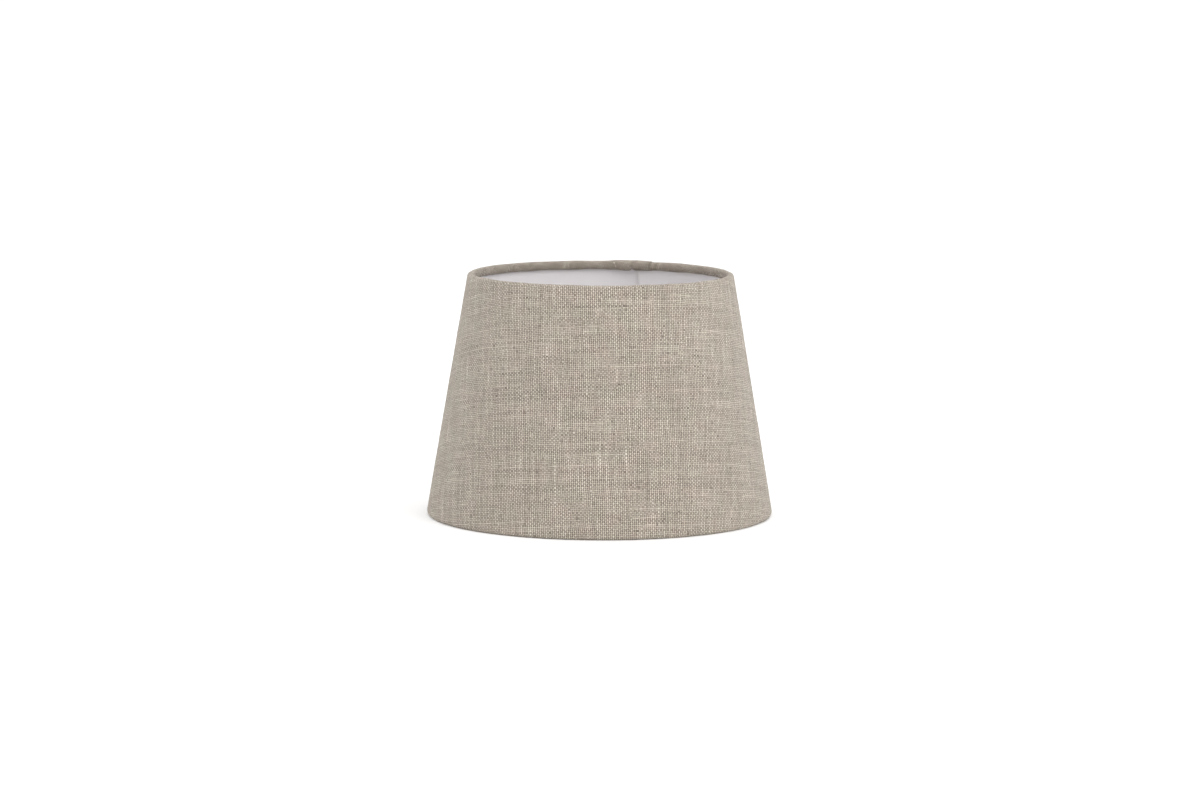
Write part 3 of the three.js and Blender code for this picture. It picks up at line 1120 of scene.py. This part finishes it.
def twisted_fibres(recipe, across, along):
    """The fibres of a thread: fine noise, stretched along the thread and slanted by its twist."""
    slanted = recipe.calc("MULTIPLY_ADD", along, 1.6, recipe.calc("MULTIPLY", across, 5.5))
    return recipe.noise(
        recipe.join(slanted, recipe.calc("MULTIPLY", along, 1.3)), 1.0, 3.0, 0.6, flat=True
    )


def linen_material(look):
    """Coarse plain-weave flax: upright and level threads over and under each other, thick and
    thin and pale and dark by turns, with slubs, painted shade in the gaps, painted highlights on
    the crests and a few dark specks of straw. It has more painted shade and is more uneven where
    it is rolled in, with a painted shadow at the pinch."""
    recipe = Recipe("natural_linen")
    flat = recipe.pattern()
    u, v, _ = recipe.split(recipe.drift(flat, 70.0, 1.4 * MILLIMETRE))
    across = recipe.calc("DIVIDE", u, look.warp)
    along = recipe.calc("DIVIDE", v, look.weft)
    warp_number, warp_height, warp_tone = thread_parts(recipe, across, along, 1.0)
    weft_number, weft_height, weft_tone = thread_parts(recipe, along, across, -1.0)

    height = recipe.calc("MAXIMUM", warp_height, weft_height)
    height = recipe.calc("MAXIMUM", height, GAP_HEIGHT)
    warp_on_top = recipe.calc("GREATER_THAN", warp_height, weft_height)
    tone_gap = recipe.calc("SUBTRACT", warp_tone, weft_tone)
    tone = recipe.calc("MULTIPLY_ADD", tone_gap, warp_on_top, weft_tone)
    crossing = recipe.speckle(recipe.join(warp_number, weft_number))
    rolled = recipe.attribute(ROLL_AND_PINCH_SHADE)
    # Painted shade in the gaps between threads and painted highlights on their crests, from the
    # weave's height.
    painted_weave_light = recipe.fit(height, GAP_HEIGHT, CREST_HEIGHT, -1.15, 0.26)
    # The roll share deepens the painted shade in the gaps, darkens the whole roll with painted
    # shade and paints a shadow at the pinch; it also makes the tone more uneven.
    painted_weave_light = recipe.calc("MULTIPLY", painted_weave_light, recipe.calc("MULTIPLY_ADD", rolled, 0.25, 1.0))
    # Crests of upright threads are lighter than those of level ones: partly a real tone
    # difference between the two sets, partly painted light from how the light falls on each.
    painted_weave_light = recipe.calc("MULTIPLY_ADD", warp_on_top, 0.24, painted_weave_light)
    painted_weave_light = recipe.calc("MULTIPLY_ADD", rolled, -0.16, painted_weave_light)
    speck = recipe.calc("GREATER_THAN", crossing, 0.993)
    pale = recipe.calc("ADD", tone, 0.5)
    uneven = recipe.calc("MULTIPLY_ADD", rolled, 0.2, 0.14)
    pale = recipe.sway(pale, crossing, uneven)
    pale = recipe.calc("ADD", pale, painted_weave_light)
    pale = recipe.calc("MULTIPLY_ADD", speck, -0.4, pale)
    upright = twisted_fibres(recipe, across, along)
    level = twisted_fibres(recipe, along, across)
    fibre = recipe.calc(
        "MULTIPLY_ADD", recipe.calc("SUBTRACT", upright, level), warp_on_top, level
    )
    pale = recipe.sway(pale, fibre, 1.0)
    tint = recipe.ramp(
        recipe.fit(pale, -0.25, 1.35),
        [
            (0.1, opaque(look.dark)),
            (0.47, opaque(look.middle)),
            (0.78, opaque(look.light)),
            (1.0, opaque(look.bleached)),
        ],
    )
    cast = recipe.noise(flat, 90.0, 1.0)
    cast = recipe.fit(cast, 0.35, 0.65, kind="SMOOTHSTEP")
    cast = recipe.blend(cast, (1.014, 0.994, 0.992, 1.0), (0.988, 1.006, 0.988, 1.0))
    recipe.shade(
        Base_Color=recipe.blend(1.0, tint, cast, "MULTIPLY"),
        Roughness=recipe.fit(height, GAP_HEIGHT, CREST_HEIGHT, 0.98, 0.84),
        Sheen_Weight=0.12,
        Sheen_Roughness=0.6,
        Specular_IOR_Level=0.22,
    )
    relief = recipe.calc("MULTIPLY_ADD", fibre, 0.25, height)
    recipe.shade(Normal=recipe.relief(relief, 0.22 * MILLIMETRE, 0.8))
    return recipe.material


def lining_material(look):
    """Smooth white lining sheet, with the linen's texture just showing through from behind."""
    recipe = Recipe("white_lining")
    flat = recipe.pattern()
    cloud = recipe.noise(flat, 26.0, 3.0)
    print_through = recipe.noise(recipe.vector("MULTIPLY", flat, (420.0, 90.0, 0.0)), 1.0, 2.0)
    crossed = recipe.noise(recipe.vector("MULTIPLY", flat, (90.0, 460.0, 0.0)), 1.0, 2.0)
    threads = recipe.calc("ADD", print_through, crossed)
    grain = recipe.noise(flat, 2400.0, 2.0)
    white = opaque(look.lining)
    duller = dimmed(look.lining, 0.985, 0.98, 0.965)
    tint = recipe.blend(recipe.fit(cloud, 0.35, 0.7), white, duller)
    recipe.shade(
        Base_Color=tint,
        Roughness=recipe.fit(cloud, 0.3, 0.7, 0.42, 0.56),
        Specular_IOR_Level=0.4,
    )
    low = recipe.relief(threads, 0.05 * MILLIMETRE, 0.5)
    recipe.shade(Normal=recipe.relief(grain, 0.02 * MILLIMETRE, 0.5, normal=low))
    return recipe.material


def steel_material(look):
    """White powder coat on steel: orange peel, a few rubbed places, and faint rings on the
    fitter where a shade nut has been turned."""
    found = bpy.data.materials.get("white_powder_coat")
    if found:
        return found
    recipe = Recipe("white_powder_coat")
    place = recipe.place()
    x, y, z = recipe.split(place)
    reach = recipe.calc("MULTIPLY_ADD", x, x, recipe.calc("MULTIPLY", y, y))
    reach = recipe.calc("SQRT", reach)
    peel = recipe.noise(place, 900.0, 2.0)
    rub = recipe.noise(place, 210.0, 3.0, 0.6)
    rings = recipe.noise(
        recipe.join(recipe.calc("MULTIPLY", reach, 5200.0), recipe.calc("MULTIPLY", x, 60.0)),
        1.0,
        1.0,
    )
    on_washer = recipe.fit(reach, NUT_REACH, NUT_REACH + MILLIMETRE, 1.0, 0.0)
    face = FITTER_HIGH.z
    near_face = recipe.fit(z, face - MILLIMETRE, face - 0.2 * MILLIMETRE)
    on_washer = recipe.calc("MULTIPLY", on_washer, near_face)
    turned = recipe.calc("MULTIPLY", on_washer, recipe.fit(rings, 0.52, 0.66))
    turned = recipe.calc("MULTIPLY", turned, 0.6)
    rubbed = recipe.calc("MAXIMUM", recipe.fit(rub, 0.64, 0.72), turned)
    coat = opaque(look.steel)
    worn = dimmed(look.steel, 0.62, 0.62, 0.62)
    soft = dimmed(look.steel, 0.94, 0.94, 0.94)
    soft = recipe.blend(recipe.fit(rub, 0.3, 0.7), coat, soft)
    recipe.shade(
        Base_Color=recipe.blend(recipe.calc("MULTIPLY", rubbed, 0.4), soft, worn),
        Roughness=recipe.fit(rubbed, 0.0, 1.0, 0.36, 0.58),
        Coat_Weight=0.15,
        Coat_Roughness=0.25,
    )
    recipe.shade(Normal=recipe.relief(peel, 0.06 * MILLIMETRE, 0.5))
    return recipe.material


def tape_material(look):
    """Double-sided tape: a creamy, slightly glossy film with creases and trapped air."""
    found = bpy.data.materials.get("adhesive_tape")
    if found:
        return found
    recipe = Recipe("adhesive_tape")
    place = recipe.place()
    air = recipe.noise(place, 520.0, 2.0)
    crease = recipe.noise(recipe.vector("MULTIPLY", place, (60.0, 60.0, 700.0)), 1.0, 2.0)
    tape = opaque(look.tape)
    brown = dimmed(look.tape, 0.86, 0.8, 0.68)
    recipe.shade(
        Base_Color=recipe.blend(recipe.fit(air, 0.4, 0.65), tape, brown),
        Roughness=recipe.fit(air, 0.35, 0.7, 0.3, 0.55),
    )
    recipe.shade(Normal=recipe.relief(crease, 0.05 * MILLIMETRE, 0.6))
    return recipe.material


def floor_material(look):
    """A pale, matt studio floor."""
    recipe = Recipe("studio_floor")
    place = recipe.place()
    cloud = recipe.noise(place, 3.0, 2.0)
    pale = opaque(look.floor)
    paler = tuple(min(1.0, part * 1.02) for part in look.floor) + (1.0,)
    recipe.shade(
        Base_Color=recipe.blend(recipe.fit(cloud, 0.3, 0.7), pale, paler),
        Roughness=recipe.fit(cloud, 0.3, 0.7, 0.85, 0.95),
        Specular_IOR_Level=0.2,
    )
    return recipe.material


# The stage -----------------------------------------------------------------------------------

CAMERA_DISTANCE = 2.322
CAMERA_ELEVATION = 7.28
CAMERA_AIM_HEIGHT = 0.066
CAMERA_CENTRE_HEIGHT = 0.07
CAMERA_ROLL = 0.27
CAMERA_LENS = 120.4

FLOOR_REACH = 12.0
FLOOR_LINES = 9
WORLD_STRENGTH = 1.06
LIGHT_TARGET = (0.0, 0.0, 0.07)

# Each light's name, place, size and power.
LIGHTS = (
    ("key_light", (1.6, -1.7, 1.5), 1.2, 17.0),
    ("top_light", (0.0, 0.2, 2.2), 1.6, 10.0),
)


def place_camera():
    """A long-lens camera in front of the shade and a little above it."""
    data = bpy.data.cameras.new("studio_camera")
    data.lens = CAMERA_LENS
    data.sensor_width = 36.0
    data.clip_end = 100.0
    camera = bpy.data.objects.new("studio_camera", data)
    bpy.context.scene.collection.objects.link(camera)
    elevation = math.radians(CAMERA_ELEVATION)
    y = -CAMERA_DISTANCE * math.cos(elevation)
    z = CAMERA_CENTRE_HEIGHT + CAMERA_DISTANCE * math.sin(elevation)
    pitch = math.atan2(z - CAMERA_AIM_HEIGHT, -y)
    camera.location = (0.0, y, z)
    camera.rotation_mode = "XYZ"
    camera.rotation_euler = (math.pi / 2.0 - pitch, 0.0, 0.0)
    camera.rotation_euler.rotate_axis("Z", math.radians(CAMERA_ROLL))
    bpy.context.scene.camera = camera


def place_light(name, location, size, power):
    """A square soft box that faces the shade."""
    data = bpy.data.lights.new(name, "AREA")
    data.shape = "SQUARE"
    data.size = size
    data.energy = power
    light = bpy.data.objects.new(name, data)
    bpy.context.scene.collection.objects.link(light)
    offset = np.subtract(LIGHT_TARGET, location)
    flat = math.hypot(offset[0], offset[1])
    light.location = location
    light.rotation_euler = (
        math.atan2(flat, -offset[2]),
        0.0,
        math.atan2(offset[1], offset[0]) - math.pi / 2.0,
    )


def build_stage(context):
    """A pale floor, soft light from all round, and the camera."""
    line = np.linspace(-FLOOR_REACH, FLOOR_REACH, FLOOR_LINES)
    x, y = np.meshgrid(line, line, indexing="ij")
    points = np.stack([x, y, np.zeros_like(x)], axis=-1).reshape(-1, 3)
    faces = grid_faces(FLOOR_LINES, FLOOR_LINES, False, False)[..., ::-1].reshape(-1, 4)
    mesh = bpy.data.meshes.new("studio_floor")
    mesh.from_pydata(points.tolist(), [], faces.tolist())
    mesh.materials.append(floor_material(context.scene.finish_look))
    floor = bpy.data.objects.new("studio_floor", mesh)
    context.scene.collection.objects.link(floor)

    world = bpy.data.worlds.new("studio")
    world.use_nodes = True
    background = world.node_tree.nodes["Background"]
    background.inputs["Color"].default_value = (1.0, 1.0, 1.0, 1.0)
    background.inputs["Strength"].default_value = WORLD_STRENGTH
    context.scene.world = world
    for name, location, size, power in LIGHTS:
        place_light(name, location, size, power)
    place_camera()
    context.scene.view_settings.view_transform = "Standard"


# Operators and panel -------------------------------------------------------------------------


class LAMPSHADE_OT_stage(Operator):
    """Set up the floor, the light and the camera"""

    bl_idname = "lampshade.stage"
    bl_label = "Stage"

    def execute(self, context):
        build_stage(context)
        return {"FINISHED"}


class LAMPSHADE_OT_linen(Operator):
    """Build the linen cover with its rolled edges, its lapped seam and its snips"""

    bl_idname = "lampshade.linen"
    bl_label = "Linen Cover"

    def execute(self, context):
        build_linen(context)
        return {"FINISHED"}


class LAMPSHADE_OT_lining(Operator):
    """Build the white lining sheet"""

    bl_idname = "lampshade.lining"
    bl_label = "Lining Sheet"

    def execute(self, context):
        build_lining(context)
        return {"FINISHED"}


class LAMPSHADE_OT_seam_tape(Operator):
    """Build the tape that holds the lapped seam"""

    bl_idname = "lampshade.seam_tape"
    bl_label = "Seam Tape"

    def execute(self, context):
        build_seam_tape(context)
        return {"FINISHED"}


class LAMPSHADE_OT_rings(Operator):
    """Build the two wire rings"""

    bl_idname = "lampshade.rings"
    bl_label = "Wire Rings"

    def execute(self, context):
        build_rings(context)
        return {"FINISHED"}


class LAMPSHADE_OT_ring_tapes(Operator):
    """Build the sticky tape on the two rings"""

    bl_idname = "lampshade.ring_tapes"
    bl_label = "Ring Tapes"

    def execute(self, context):
        build_ring_tapes(context)
        return {"FINISHED"}


class LAMPSHADE_OT_fitter_ring(Operator):
    """Build the pressed ring that holds the lampholder"""

    bl_idname = "lampshade.fitter_ring"
    bl_label = "Fitter Ring"

    def execute(self, context):
        build_fitter_ring(context)
        return {"FINISHED"}


class LAMPSHADE_OT_arms(Operator):
    """Build the three wire arms with their welds"""

    bl_idname = "lampshade.arms"
    bl_label = "Fitter Arms"

    def execute(self, context):
        build_arms(context)
        return {"FINISHED"}


class LAMPSHADE_PT_panel(Panel):
    """The pieces of the shade and the values that they are made from"""

    bl_idname = "LAMPSHADE_PT_panel"
    bl_label = "Lamp Shade"
    bl_space_type = "VIEW_3D"
    bl_region_type = "UI"
    bl_category = "Lamp Shade"

    def draw(self, context):
        for step in STEPS:
            self.layout.operator(step.bl_idname)
        for name, _ in PROPERTY_GROUPS:
            group = getattr(context.scene, name)
            box = self.layout.box()
            for key in type(group).__annotations__:
                box.prop(group, key)


PROPERTY_GROUPS = (
    ("shade_sizes", ShadeSizes),
    ("fitter_sizes", FitterSizes),
    ("cloth_look", ClothLook),
    ("finish_look", FinishLook),
)
STEPS = (
    LAMPSHADE_OT_stage,
    LAMPSHADE_OT_rings,
    LAMPSHADE_OT_ring_tapes,
    LAMPSHADE_OT_fitter_ring,
    LAMPSHADE_OT_arms,
    LAMPSHADE_OT_lining,
    LAMPSHADE_OT_linen,
    LAMPSHADE_OT_seam_tape,
)


def register():
    """Registers the classes and hangs the values on the scene."""
    for name, group in PROPERTY_GROUPS:
        bpy.utils.register_class(group)
        setattr(bpy.types.Scene, name, PointerProperty(type=group))
    for cls in (*STEPS, LAMPSHADE_PT_panel):
        bpy.utils.register_class(cls)


def unregister():
    """Takes them away again."""
    for cls in (LAMPSHADE_PT_panel, *reversed(STEPS)):
        bpy.utils.unregister_class(cls)
    for name, group in reversed(PROPERTY_GROUPS):
        delattr(bpy.types.Scene, name)
        bpy.utils.unregister_class(group)


def main():
    """Builds the whole shade."""
    register()
    bpy.ops.lampshade.stage()
    bpy.ops.lampshade.rings()
    bpy.ops.lampshade.ring_tapes()
    bpy.ops.lampshade.fitter_ring()
    bpy.ops.lampshade.arms()
    bpy.ops.lampshade.lining()
    bpy.ops.lampshade.linen()
    bpy.ops.lampshade.seam_tape()


if __name__ == "__main__":
    main()
